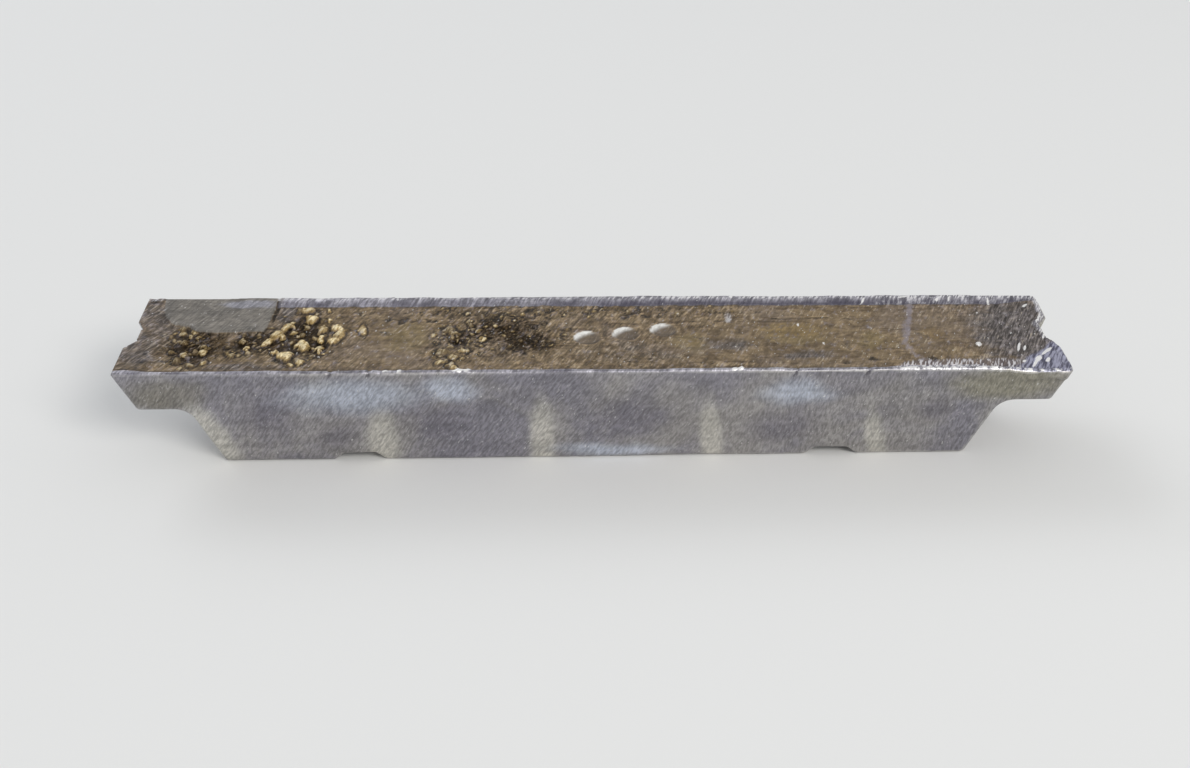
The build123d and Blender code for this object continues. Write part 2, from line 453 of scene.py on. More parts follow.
def welded_copy():
    """The CAD ingot's mesh in the shared frame, its faces joined, and its surface to lay onto."""
    mesh = cad_ingot.data.copy()
    mesh.transform(cad_ingot.matrix_world)
    work = bmesh.new()
    work.from_mesh(mesh)
    bmesh.ops.remove_doubles(work, verts=work.verts, dist=WELD_DISTANCE * MM)
    work.to_mesh(mesh)
    surface = BVHTree.FromBMesh(work)
    work.free()
    return mesh, surface


def even_skin():
    """The CAD ingot's surface as an even mesh, laid exactly on the solid."""
    mesh, solid = welded_copy()
    skin = add_object("ingot_casting", mesh)
    remesh = skin.modifiers.new("even", "REMESH")
    remesh.mode = "VOXEL"
    remesh.voxel_size = CELL * MM
    even = bpy.data.meshes.new_from_object(skin.evaluated_get(bpy.context.evaluated_depsgraph_get()))
    skin.modifiers.clear()
    skin.data = even
    halve_cells(even, cast_face_or_edge)
    halve_cells(even, fine_areas)
    points = read_mesh(even)
    for i, point in enumerate(points):
        points[i] = solid.find_nearest(Vector(point) * MM)[0] / MM
    even.vertices.foreach_set("co", (points * MM).ravel())
    even.update()
    return skin


def nodule_lumps(rng):
    """Every nodule as a knot of rounded knobs: x, y, half sizes, turn, height, how golden."""
    lumps = []
    for x, y, half_length, half_width, turn, height in NODULES:
        gold = rng.uniform(*(LIGHT_GOLD if LIGHT_DROSS[0] < x < LIGHT_DROSS[1] else DULL_GOLD))
        lumps.append((x, y, 0.85 * half_length, 0.85 * half_width, turn, height, gold))
        c, s = math.cos(math.radians(turn)), math.sin(math.radians(turn))
        for _ in range(KNOBS_PER_NODULE):
            angle = rng.uniform(0, 2 * math.pi)
            u, v = half_length * 0.6 * math.cos(angle), half_width * 0.6 * math.sin(angle)
            size = min(half_length, half_width) * rng.uniform(0.4, 0.7)
            place = (x + u * c - v * s, y + u * s + v * c)
            wide = size * rng.uniform(0.8, 1.2)
            knob_turn = rng.uniform(0, 180)
            lumps.append((*place, size, wide, knob_turn, height * rng.uniform(0.6, 0.95), gold))
    return lumps


def crumb_lumps(rng):
    """Smaller lumps strewn over their ovals, in the same form as the nodules."""
    lumps = []
    for (x, y, half_length, half_width), count, largest, golden in CRUMBS:
        for _ in range(count):
            angle, reach = rng.uniform(0, 2 * math.pi), 1.1 * rng.uniform(0, 1) ** 0.7
            size = largest * (0.3 + 0.7 * rng.uniform(0, 1) ** 2)
            place = (x + half_length * reach * math.cos(angle), y + half_width * reach * math.sin(angle))
            tall = size * rng.uniform(1.0, 1.8)
            height = size * rng.uniform(0.4, 0.8)
            gold = min(1, golden + 0.6 * rng.uniform(0, 1) ** 3)
            lumps.append((*place, size, tall, rng.normal(-LEAN, 25), height, gold))
    return lumps


def lump_field(x, y, lumps):
    """At each point the lumps' height, how far up one it lies, how golden, and how near one stands."""
    height, share, gold, skirt = np.zeros((4, len(x)))
    for lump in lumps:
        near = np.flatnonzero(np.hypot(x - lump[0], y - lump[1]) < 2.0 * max(lump[2:4]))
        r = oval_radius(x[near], y[near], *lump[:5])
        dome = np.clip(1 - r * r, 0, 1) ** 0.5
        higher = lump[5] * dome > height[near]
        share[near] = np.where(higher, dome, share[near])
        gold[near] = np.where(higher, lump[6], gold[near])
        height[near] = np.maximum(height[near], lump[5] * dome)
        skirt[near] = np.maximum(skirt[near], 1 - smoothstep(1.0, 2.0, r))
    return height, share, gold, skirt


def patch_masks(m, x, y):
    """The skimmed patch, the gap beside its right edge, painted dark as shadow, and the pale rim inside
    its left edge.
    """
    edge = polygon_depth(x + 0.3 * m.wobble, y + 0.25 * m.wobble_two, PATCH)
    m.patch = smoothstep(-PATCH_SOFT, PATCH_SOFT, edge) * m.top
    beside = smoothstep(-2.8, -2.0, edge) * (1 - smoothstep(-0.9, -0.3, edge))
    m.gap = beside * (x > GAP_LEFT) * smoothstep(*GAP_START, y) * m.top
    m.rim = smoothstep(0, 0.8, edge) * (1 - smoothstep(2, 6, edge)) * (x < RIM_RIGHT) * m.top


def lip_masks(m, x, y):
    """The ends and the bank that are filled up to the lip, the sunken floor and the bright lip."""
    left_fill = 1 - smoothstep(*LEFT_FILL, x + m.wobble)
    right_fill = smoothstep(*RIGHT_FILL, x + m.wobble)
    m.fill = np.maximum(LEFT_FILL_SHARE * left_fill, RIGHT_FILL_SHARE * right_fill)
    m.bank = smoothstep(*BANK, y + 0.35 * m.wobble)
    m.floor = m.top * smoothstep(*FLOOR_DEPTH, m.depth) * (1 - m.bank) * (1 - m.patch)
    spread = LIP_SPREAD * smoothstep(*SPREAD_START, x) * (1 - smoothstep(*SPREAD_END, x))
    front = smoothstep(*FRONT_LIP, y - spread + 0.2 * m.wobble)
    back = smoothstep(*BACK_LIP, y + 0.25 * m.wobble) * (1 - m.patch)
    right = RIGHT_LIP_SHARE * smoothstep(*RIGHT_LIP, x + 0.5 * m.wobble)
    begun = smoothstep(*BACK_LIP_LEFT, x + m.wobble)
    m.lip = m.top * np.maximum(front, np.maximum(back * begun, right))
    m.front_lip, m.back_lip = front, back * m.top


def lump_masks(m, points):
    """Nodules and crumbs of dross on the sunken floor."""
    rng = np.random.default_rng(SEED)
    lumps = nodule_lumps(rng) + crumb_lumps(rng)
    x = points[:, 0] + 0.3 * m.wobble + LUMP_WOBBLE * noise(points, LUMP_WOBBLE_SIZE, SEED + 8)
    y = points[:, 1] + 0.3 * m.wobble_two + LUMP_WOBBLE * noise(points, LUMP_WOBBLE_SIZE, SEED + 9)
    height, share, gold, skirt = lump_field(x, y, lumps)
    m.lump, m.knob, m.golden = height * m.floor, share * m.floor, gold
    # Ring round the foot of each low lump, painted with shade in the colour
    m.skirt = skirt * (height < 0.3) * m.floor


def crust_masks(m, x, y):
    """Pits, rough parts, colours and spots of the crust."""
    floor = m.floor
    m.pitted = ovals(x, y, PITTED) * (1 - ovals(x, y, [POOL])) * floor
    m.rough = ovals(x, y, ROUGH) * floor
    m.calm = ovals(x, y, CALM_CRUST, 0.5)
    m.dark = ovals(x, y, DARK_CRUST, 0.8) * floor
    m.gold = ovals(x, y, GOLD_CRUST, 0.8) * floor
    m.olive = ovals(x, y, OLIVE_CRUST, 0.8) * floor
    greys = [share * ovals(x, y, areas, soft) for share, soft, areas in GREY_CRUST]
    m.grey = np.max(greys, axis=0) * m.top
    m.spots = ovals(x, y, DARK_SPOTS, 0.7) * m.top * (1 - m.patch)
    m.stain = ovals(x, y, [PALE_STAIN], 0.5) * m.top
    m.sheen = ovals(x, y, [PATCH_SHEEN], 0.5) * m.top


def mark_arcs(x, y):
    """The painted highlight inside each stamp mark's rim, on the side that faces the key light, widest in
    the middle.
    """
    arcs = np.zeros(len(x))
    for mark_x, mark_y in MARKS:
        u, v = (x - mark_x) / MARK_RADIUS, (y - mark_y) / MARK_RADIUS
        r = np.hypot(u, v)
        towards = (u * math.cos(ARC_TOWARDS) + v * math.sin(ARC_TOWARDS)) / np.maximum(r, 0.01)
        inner = 1 - ARC_WIDTH * np.clip(0.25 + 0.75 * towards, 0, 1)
        arc = smoothstep(inner - 0.05, inner + 0.6, r) * (1 - smoothstep(0.94, 1.04, r))
        arcs = np.maximum(arcs, 1.6 * arc * smoothstep(-0.1, 0.6, towards))
    return arcs


def feature_masks(m, x, y):
    """Stamp marks, seam, crease, bright dot and scrapes."""
    rims = [(mark_x, mark_y, MARK_RADIUS, MARK_RADIUS) for mark_x, mark_y in MARKS]
    m.marks = ovals(x, y, rims, 0.15) * m.top
    m.arcs = mark_arcs(x + 0.2 * m.wobble, y + 0.2 * m.wobble_two) * m.top
    seam = 1 - smoothstep(0.1, 1.0, path_distance(x + 0.5 * m.wobble, y, SEAM) / SEAM_HALF_WIDTH)
    m.seam = seam * m.floor * (0.4 + 0.6 * smoothstep(*SEAM_FADE, y))
    m.crease = (1 - smoothstep(0.3, 1.2, path_distance(x, y + 0.2 * m.wobble, CREASE))) * m.floor
    m.dot = ovals(x, y, [BRIGHT_DOT], 0.5) * m.top
    m.scrape = ovals(x + 0.15 * m.wobble, y + 0.15 * m.wobble_two, SCRAPES, 0.7, 1.2) * m.top


def slanting_lines(places, x, soft, softer):
    """1 in the middle of each upright line, which stands at its place and has its own half width."""
    total = np.zeros(len(x))
    for place, half_width in places:
        total = np.maximum(total, 1 - smoothstep(soft, softer, np.abs(x - place) / half_width))
    return total


def front_edge_masks(m, x, y, z):
    """Burrs, nicks and a line of painted shade along the foot of the front lip, and the comb of marks
    inside it.
    """
    m.rough_lip = smoothstep(*ROUGH_LIP, x + m.wobble)
    burrs = slanting_lines(BURRS, x + 0.5 * m.wobble_two - 0.6 * (y + HALF_WIDTH), 0.4, 1.3)
    burrs = np.maximum(0.5 * m.rough_lip, burrs)
    m.burr = burrs * m.front_lip * m.top * (1 - smoothstep(0.8, 1.6, m.depth))
    nicks = slanting_lines(NICKS, x - 0.4 * (z - RIGHT_LEVEL), 0.3, 1.0)
    m.nick = nicks * (y < -46) * (1 - smoothstep(3, 7, m.depth + 0.8 * m.wobble))
    m.groove = (1 - smoothstep(0.4, 1.3, np.abs(y - FRONT_LIP_GROOVE + 0.2 * m.wobble))) * m.top
    reach = COMB_REACH + (COMB_REACH_RIGHT - COMB_REACH) * smoothstep(*COMB_WIDENS, x)
    comb = (1 - smoothstep(reach - 4, reach, y + 0.5 * m.wobble)) * (1 - m.front_lip) * m.top
    m.comb = comb * smoothstep(*COMB_LEFT, x + m.wobble) * (1 - smoothstep(*COMB_RIGHT, x))


def right_end_masks(m, x, y):
    """The worn facet on the front corner, and the bare rim at the end."""
    facet = polygon_depth(x + 0.6 * m.wobble, y + 0.5 * m.wobble_two, FACET)
    m.facet = smoothstep(-2.0, 3.5, facet) * (m.depth < FACET_DEPTH)
    m.facet_depth = np.clip(facet / 16, 0, 1) * m.facet
    rim_x = RIM_AT_RECESS + RIM_BESIDE_RECESS * smoothstep(*RECESS_SIDE, np.abs(y))
    m.right_rim = smoothstep(*RIM_WIDTH, x + 0.9 * m.wobble - rim_x) * m.top


def shared_noises(m, points):
    """The noises that both the relief and the material follow."""
    drawn = leaning(points)
    m.lumpy = layered_noise(drawn, 8, SEED + 20)
    m.cells = layered_noise((points + drawn) / 2, 5.0, SEED + 40, 2)
    m.ticks = np.clip(layered_noise(points * [1, 0.3, 0.3], 2.4, SEED + 75, 2) + 0.3, 0, 1)


def cast_masks(points, normals):
    """What each point of the skin is: how much cast face, lip, patch, nodule and so on."""
    x, y, z = points.T
    m = SimpleNamespace(depth=cast_level(x) - z)
    m.sunk = np.clip(m.depth, 0, SINK)
    m.top = smoothstep(0.25, 0.7, normals[:, 2]) * (m.depth < TOP_DEPTH)
    m.wobble = WOBBLE * layered_noise(points, WOBBLE_SIZE, SEED + 1)
    m.wobble_two = WOBBLE_TWO * layered_noise(points, WOBBLE_TWO_SIZE, SEED + 5)
    patch_masks(m, x, y)
    lip_masks(m, x, y)
    lump_masks(m, points)
    crust_masks(m, x + AREA_WOBBLE * m.wobble, y + AREA_WOBBLE * m.wobble_two)
    feature_masks(m, x, y)
    front_edge_masks(m, x, y, z)
    right_end_masks(m, x, y)
    shared_noises(m, points)
    return m


def side_clouds(points, areas):
    """Soft clouds on the front side, and the same ones shifted along on the back."""
    x, y, z = points.T
    warped_x = x + CLOUD_WARP * layered_noise(points, 26, SEED + 90)
    warped_z = z + CLOUD_RISE_WARP * layered_noise(points, 30, SEED + 95)
    front = ovals(warped_x, warped_z, areas, CLOUD_SOFT)
    back = ovals(warped_x - BACK_SHIFT, warped_z, areas, CLOUD_SOFT)
    return front + (back - front) * smoothstep(*BACK_BLEND, y)


def convexity(mesh, points, normals):
    """How far each point stands out from its neighbours, as a share of their distance."""
    edges = np.zeros(len(mesh.edges) * 2, np.int32)
    mesh.edges.foreach_get("vertices", edges)
    a, b = edges.reshape(-1, 2).T
    step = points[b] - points[a]
    length = np.linalg.norm(step, axis=1)
    total, reach, count = np.zeros(points.shape), np.zeros(len(points)), np.zeros(len(points))
    for ends, sign in ((a, 1), (b, -1)):
        np.add.at(total, ends, sign * step)
        np.add.at(reach, ends, length)
        np.add.at(count, ends, 1)
    out = -np.sum(total * normals, axis=1) / reach
    spread = np.zeros(len(points))
    np.add.at(spread, a, out[b])
    np.add.at(spread, b, out[a])
    return 0.5 * out + 0.5 * spread / count


def crust_lift(points, m):
    """Relief of the crust: its grain, pits, hollows and lumps."""
    calm = np.clip(1 - m.patch - 0.5 * m.marks - m.facet, 0, 1)
    grain = layered_noise(leaning(points), 2.4, SEED + 25, 2)
    ripple = 1 - 2 * np.abs(layered_noise(points * [0.35, 1, 1], 9, SEED + 30))
    bumpy = 1 + 1.8 * m.rough + 0.8 * m.pitted
    skin = CRUST_LUMPS * m.lumpy * bumpy + CRUST_GRAIN * grain * bumpy + CRUST_RIPPLE * ripple
    lift = m.floor * calm * skin
    lift += m.pitted * (PIT_WAVES * m.cells - PIT_DEPTH)
    lift += m.rough * np.minimum(0, HOLLOW_WAVES * m.cells + HOLLOW_RAISE)
    lift += m.lump * (0.92 + 0.22 * noise(points, 2.6, SEED + 51))
    return lift


def lip_lift(points, m):
    """Relief of what fills the sunk face up to the lip, and of the lip, its burrs and the facet."""
    filled = np.maximum(m.bank, m.fill)
    lift = m.top * m.sunk * filled * (1 - m.patch) * (1 - m.marks)
    waves = PATCH_WAVES * layered_noise(points, 30, SEED + 60)
    lift += m.patch * (m.sunk - PATCH_BELOW_LIP + waves)
    lift += m.lip * LIP_WAVES * layered_noise(points, 18, SEED + 70)
    lift += m.lip * LIP_RIPPLE * layered_noise(points * [0.5, 1, 1], 4.5, SEED + 71)
    lift += BURR_RISE * m.burr * m.ticks
    lift -= m.facet_depth * FACET_DROP + m.facet * FACET_WAVES * np.abs(noise(points, 5, SEED + 77))
    return lift


def moved_points(points, normals, m):
    """The skin's points with the casting's real relief."""
    lift = crust_lift(points, m) + lip_lift(points, m)
    lift += m.seam * SEAM_RISE + m.dot * DOT_RISE + SCRAPE_RISE * m.scrape
    lift -= GAP_DEPTH * m.gap + CREASE_DEPTH * m.crease + SPOT_DEPTH * m.spots
    waves = SIDE_WAVES * layered_noise(points, 70, SEED + 80)
    ripple = SIDE_RIPPLE * layered_noise(points, 14, SEED + 81)
    push = (1 - m.top) * (waves + ripple) - NICK_DEPTH * m.nick
    moved = points + normals * push[:, None]
    near_end = 1 - smoothstep(*LEFT_LOBE_X, points[:, 0])
    moved[:, 0] += LEFT_LOBE_IN * near_end * smoothstep(*LEFT_LOBE_Y, points[:, 1])
    moved[:, 2] = np.clip(moved[:, 2] + lift, 0, TOP_LIMIT)
    return moved


def bare_metal(points, m):
    """Where the silver metal is scraped bare: stain, rims, rough front lip and the bank's crest; and the
    painted shade at the bank's foot.
    """
    y = points[:, 1]
    grows = smoothstep(*BANK_GROWS, points[:, 0]) * 0.6 + 0.4
    bare = 0.5 * m.stain + 0.15 * m.rim + m.right_rim
    bare += m.rough_lip * m.lip * np.where(y < 0, 0.9, 0.3)
    bare += m.back_lip * smoothstep(*BANK_CREST, y + 0.3 * m.lumpy) * (0.35 + 0.5 * grows)
    # Painted shade at the foot of the bank
    foot = m.back_lip * grows * (1 - smoothstep(*BANK_FOOT, y + 0.8 * m.lumpy))
    return np.clip(bare, 0, 1), foot


def dark_crust(m):
    """Where the crust is dark: dark areas, pits and spots, with painted shade in low spots, round the feet
    of lumps, in nicks, the gap and the crease, and along the foot of the front lip.
    """
    # Painted shade in the low spots of the pitted and rough crust
    low = smoothstep(0.05, 0.6, -m.cells) * np.maximum(m.pitted, 0.9 * m.rough)
    # Painted shade round lumps' feet, in nicks, along the lip's foot, in the gap and in the crease; the
    # spots are dark crust
    hollows = 0.7 * m.skirt + m.nick + 0.7 * m.groove + m.gap
    hollows += 0.6 * m.spots + 0.6 * m.crease
    return np.clip(0.6 * m.dark + m.pitted + 0.8 * low + hollows, 0, 1)


def material_masks(points, normals, m, standing):
    """The masks that the material reads, by name."""
    masks = {name: getattr(m, name) for name in PLAIN_MASKS}
    sides = 1 - m.top
    bare, bank_foot = bare_metal(points, m)
    away_from_light = 0.83 * normals[:, 1] - 0.55 * normals[:, 0]
    masks.update(
        cast=m.top * (1 - m.lip),
        nodule=smoothstep(0.12, 0.45, m.knob),
        pit=np.maximum(m.pitted, m.dark),
        dark=dark_crust(m),
        gold=np.clip(m.gold + 0.3 * m.pitted, 0, 1),
        bare=bare,
        mark=m.marks,
        # Painted highlight arc of the stamp marks, and painted shade on their side away from the light
        crescent=m.arcs,
        hollow=m.marks * smoothstep(0.1, 0.35, away_from_light),
        shine=np.clip(m.dot + m.scrape + 1.4 * m.burr * (0.3 + m.ticks), 0, 1),
        facet=m.facet * m.top,
        low_bank=bank_foot,
        # How far each point stands out, for painted shade in hollows and painted highlight on raised bits
        # and edges
        standing=np.clip(0.5 + 2.2 * standing, 0, 1),
        # Bands of painted light on the sides
        warm=side_clouds(points, WARM_CLOUDS) * sides,
        blue=np.maximum(side_clouds(points, BLUE_CLOUDS) * sides, m.sheen * m.patch),
        umber=side_clouds(points, OLIVE_CLOUDS) * sides,
        dim=side_clouds(points, DARK_CLOUDS) * sides,
    )
    return masks


def shape_skin(skin):
    """Moves the skin to the casting's real relief and keeps the masks for the material."""
    points = read_mesh(skin.data)
    normals = vertex_normals(skin.data)
    m = cast_masks(points, normals)
    moved = moved_points(points, normals, m)
    skin.data.vertices.foreach_set("co", (moved * MM).ravel())
    skin.data.update()
    standing = convexity(skin.data, moved, vertex_normals(skin.data))
    for name, values in material_masks(points, normals, m, standing).items():
        layer = skin.data.attributes.new(name, "FLOAT", "POINT")
        layer.data.foreach_set("value", values.astype(np.float32))
    skin.data.shade_smooth()
    skin.data.update()


class Nodes:
    """Short calls for building the node tree of a material or of the world."""

    def __init__(self, owner, shader):
        owner.use_nodes = True
        self.tree = owner.node_tree
        self.shader = self.tree.nodes[shader]

    def link(self, value, socket):
        """Links a socket, or sets it to a number or to a colour as seen on a screen."""
        if isinstance(value, bpy.types.NodeSocket):
            self.tree.links.new(value, socket)
        else:
            socket.default_value = srgb(*value) if isinstance(value, tuple) else value

    def node(self, kind, *values):
        """A new node, with its first inputs linked or set."""
        node = self.tree.nodes.new("ShaderNode" + kind)
        for value, socket in zip(values, node.inputs):
            self.link(value, socket)
        return node

    def show(self, output, *values):
        """Makes a mix of two shaders the one that is seen."""
        mixed = self.node("MixShader", *values)
        self.link(mixed.outputs[0], self.tree.nodes[output].inputs["Surface"])

    def math(self, kind, a, b=0.0, clamp=False):
        """One sum of two numbers."""
        node = self.node("Math", a, b)
        node.operation = kind
        node.use_clamp = clamp
        return node.outputs[0]

    def remap(self, value, low, high, to_low=0.0, to_high=1.0):
        """A smooth rise from one number to another between two values."""
        node = self.node("MapRange", value, low, high, to_low, to_high)
        node.interpolation_type = "SMOOTHSTEP"
        return node.outputs[0]

    def mix(self, share, a, b):
        """Blend of two colours."""
        node = self.node("Mix", share)
        node.data_type = "RGBA"
        self.link(a, node.inputs[6])
        self.link(b, node.inputs[7])
        return node.outputs[2]

    def blend(self, share, a, b):
        """Blend of two numbers."""
        node = self.node("Mix", share)
        self.link(a, node.inputs[2])
        self.link(b, node.inputs[3])
        return node.outputs[0]

    def shade(self, colour, factor):
        """A colour made lighter or darker."""
        node = self.node("VectorMath", colour)
        node.operation = "SCALE"
        self.link(factor, node.inputs["Scale"])
        return node.outputs[0]

    def swing(self, value, strength):
        """A factor around 1 that follows a noise, at most strength away from 1."""
        return self.remap(value, 0.32, 0.68, 1 - strength, 1 + strength)

    def times(self, *factors):
        """Product of numbers."""
        total = factors[0]
        for factor in factors[1:]:
            total = self.math("MULTIPLY", total, factor)
        return total

    def place(self):
        """Place in the ingot's own frame, in metres."""
        return self.node("TexCoord").outputs["Object"]

    def along(self):
        """Place along the ingot."""
        return self.node("SeparateXYZ", self.place()).outputs[0]

    def noise(self, size_mm, detail=4.0, roughness=0.5, stretch=(1, 1, 1), turn=(0, 0, 0), warp=0.0):
        """Noise from 0 to 1 with lumps of about size_mm, drawn out and then turned."""
        mapping = self.node("Mapping", self.place())
        mapping.vector_type = "TEXTURE"
        mapping.inputs["Rotation"].default_value = [math.radians(a) for a in turn]
        mapping.inputs["Scale"].default_value = [s * size_mm * MM for s in stretch]
        node = self.node("TexNoise", mapping.outputs[0])
        settings = {"Scale": 1.0, "Detail": detail, "Roughness": roughness, "Distortion": warp}
        for name, value in settings.items():
            node.inputs[name].default_value = value
        return node.outputs[0]

    def mask(self, name, grain=None, amount=0.5, sharp=0.2):
        """A mask kept on the mesh, its border broken up by a grain."""
        node = self.node("Attribute")
        node.attribute_name = name
        value = node.outputs["Fac"]
        if grain is None:
            return value
        around_zero = self.math("SUBTRACT", grain, 0.5)
        moved = self.math("ADD", value, self.math("MULTIPLY", around_zero, amount * 2))
        return self.remap(moved, 0.5 - sharp, 0.5 + sharp)

    def bump(self, height, distance_mm, strength=1.0, under=None):
        """Fine relief from a height, on top of what lies under it."""
        node = self.node("Bump", strength, distance_mm * MM)
        self.link(height, node.inputs["Height"])
        if under is not None:
            self.link(under, node.inputs["Normal"])
        return node.outputs[0]


def srgb(red, green, blue):
    """Colour as seen on a screen, 0 to 255, as the shader's linear colour."""
    linear = []
    for share in (red / 255, green / 255, blue / 255):
        linear.append(share / 12.92 if share <= 0.0393 else ((share + 0.055) / 1.055) ** 2.4)
    return (*linear, 1.0)


def add_lead_patterns(n):
    """The noises and shares that the lead's colours and fine relief follow."""
    left_hatch = n.noise(1.3, 2, 0.6, stretch=(1, 1.3, 5.5), turn=(0, 30, 0), warp=0.2)
    right_hatch = n.noise(1.3, 2, 0.6, stretch=(1, 1.3, 5.5), turn=(0, 8, 0), warp=0.2)
    n.hatch = n.blend(n.remap(n.along(), -0.02, 0.16), left_hatch, right_hatch)
    n.cloud = n.noise(60, 3, 0.55, warp=0.6)
    n.patchy = n.noise(12, 5, 0.62, warp=0.5)
    n.fine = n.noise(3.0, 4, 0.66, stretch=(1, 2.2, 1.4), turn=(0, 0, -LEAN), warp=0.4)
    n.speck = n.noise(1.5, 3, 0.65, stretch=(1, 1.8, 1.4), turn=(0, 0, -LEAN))
    n.streak = n.noise(1.35, 2, 0.58, stretch=(1, 7, 3), turn=(0, 0, -LEAN), warp=0.35)
    n.long_streak = n.noise(1.2, 3, 0.6, stretch=(9, 1, 1), warp=0.4)
    n.cast = n.mask("cast", n.fine, 0.4, 0.25)
    n.lip = n.mask("lip", n.fine, 0.5, 0.3)
    n.bare = n.mask("bare", n.fine, 0.6, 0.45)
    n.shine = n.mask("shine", n.speck, 0.7, 0.25)
    n.facet = n.mask("facet", n.patchy, 0.5, 0.4)


def mould_side_colour(n):
    """Clouded grey lead with bands of painted light, finely hatched, with leaning scratches and a painted
    highlight along its convex edges.
    """
    grey = n.mix(n.remap(n.cloud, 0.36, 0.64), SIDE_DARK, SIDE_LIGHT)
    grey = n.mix(n.times(n.mask("dim"), 0.6), grey, SIDE_DIM)
    olive = n.mix(n.remap(n.along(), -0.1, 0.1), SIDE_OLIVE_LEFT, SIDE_OLIVE_RIGHT)
    grey = n.mix(n.times(n.mask("umber", n.patchy, 0.25, 0.5), 0.75), grey, olive)
    # Bands of painted light
    grey = n.mix(n.times(n.mask("warm", n.patchy, 0.2, 0.5), 0.8), grey, SIDE_WARM)
    grey = n.mix(n.times(n.mask("blue"), 0.85), grey, SIDE_BLUE)
    smear = n.noise(6, 2, 0.5, stretch=(9, 1, 1))
    hatched = n.times(n.swing(n.hatch, 0.25), n.swing(n.fine, 0.04), n.swing(n.patchy, 0.05))
    grey = n.shade(grey, n.times(hatched, n.swing(smear, 0.08)))
    scratch = n.remap(n.noise(1.0, 1, 0.5, stretch=(1, 1.5, 5), turn=(0, 28, 0)), 0.6, 0.68)
    grey = n.mix(n.times(scratch, n.remap(n.patchy, 0.4, 0.6, 0.08, 0.3)), grey, SIDE_SCRATCH)
    # Painted shade in the carved nicks
    grey = n.mix(n.times(n.mask("nick"), 0.7), grey, SIDE_NICK)
    # Painted highlight along convex edges, weaker towards the left
    edge = n.times(n.remap(n.mask("standing"), 0.57, 0.74), n.remap(n.along(), 0.0, 0.18, 0.25, 1.0))
    return n.mix(n.times(edge, n.remap(n.fine, 0.3, 0.6, 0.3, 1.0), 0.6), grey, SIDE_EDGE)


def crust_colour(n):
    """Brown dross skin with grey, golden, olive and dark parts, painted shade in its hollows and painted
    highlight on its raised bits.
    """
    brown = n.mix(n.remap(n.patchy, 0.36, 0.62), BROWN_DARK, BROWN_LIGHT)
    brown = n.mix(n.remap(n.cloud, 0.44, 0.64, 0.0, 0.6), brown, BROWN_CLOUD)
    flow = n.noise(4, 4, 0.62, stretch=(6, 1, 1), warp=0.9)
    brown = n.mix(n.remap(flow, 0.52, 0.66, 0.0, 0.75), brown, BROWN_FLOW)
    golden = n.mix(n.remap(n.fine, 0.38, 0.64), GOLD_LIGHT, GOLD_DARK)
    dark = n.mix(n.remap(n.speck, 0.42, 0.66), PIT_DARK, PIT_LIGHT)
    violet = n.mix(n.remap(n.streak, 0.36, 0.64), VIOLET_DARK, VIOLET_LIGHT)
    cast = n.mix(n.times(n.mask("olive", n.patchy, 0.8, 0.4), 0.42), brown, CRUST_OLIVE)
    cast = n.mix(n.times(n.mask("gold", n.patchy, 1.0, 0.5), 0.5), cast, golden)
    cast = n.mix(n.times(n.mask("grey", n.patchy, 1.0, 0.4), 0.85), cast, violet)
    # Dark crust, together with painted shade in low spots, round lumps' feet, along the lip's foot, in the
    # gap, crease and nicks
    cast = n.mix(n.times(n.mask("dark", n.patchy, 1.4, 0.3), 0.9), cast, dark)
    cast = n.mix(n.times(n.mask("pit"), n.remap(n.fine, 0.36, 0.58, 0.8, 0.0)), cast, PIT_FLOOR)
    uneven = n.times(n.swing(n.fine, 0.3), n.swing(n.speck, 0.18), n.swing(n.streak, 0.36))
    smear = n.noise(5, 3, 0.6, stretch=(6, 1, 1), warp=0.3)
    cast = n.shade(cast, n.blend(n.times(n.mask("calm"), 0.66), uneven, n.swing(smear, 0.16)))
    # Painted shade in hollows and painted highlight on raised bits, by how far each point stands out
    cast = n.shade(cast, n.remap(n.mask("standing"), 0.3, 0.7, 0.65, 1.3))
    in_pits = n.blend(n.mask("pit"), 1.0, 0.5)
    grit = n.times(n.remap(n.streak, 0.6, 0.72), n.remap(n.patchy, 0.42, 0.6, 0.1, 0.6), in_pits)
    return n.mix(grit, cast, CRUST_GRIT)


def lump_colour(n):
    """Lumps of dross: painted shade at the foot, brown or golden on the flank and a painted highlight on
    top.
    """
    uneven = n.math("ADD", n.fine, n.math("SUBTRACT", n.streak, 1.0))
    knob = n.math("ADD", n.mask("knob"), n.times(uneven, 1.3))
    golden = n.mask("golden")
    foot = n.mix(n.mask("pit"), LUMP_FOOT, LUMP_FOOT_IN_PIT)
    flank = n.mix(golden, LUMP_FLANK, LUMP_FLANK_GOLDEN)
    top = n.mix(golden, LUMP_TOP, LUMP_TOP_GOLDEN)
    colour = n.mix(n.remap(knob, 0.25, 0.7), foot, flank)
    colour = n.mix(n.remap(knob, 0.75, 1.0), colour, top)
    return n.shade(colour, n.swing(n.speck, 0.25))


def patch_colour(n):
    """The skimmed patch: smooth grey metal with a blue sheen at the back."""
    grey = n.mix(n.remap(n.patchy, 0.4, 0.65), PATCH_LIGHT, PATCH_DARK)
    grey = n.mix(n.times(n.mask("blue"), 0.72), grey, PATCH_BLUE)
    uneven = n.times(n.swing(n.streak, 0.26), n.swing(n.fine, 0.12))
    return n.shade(grey, n.times(uneven, n.swing(n.long_streak, 0.16)))


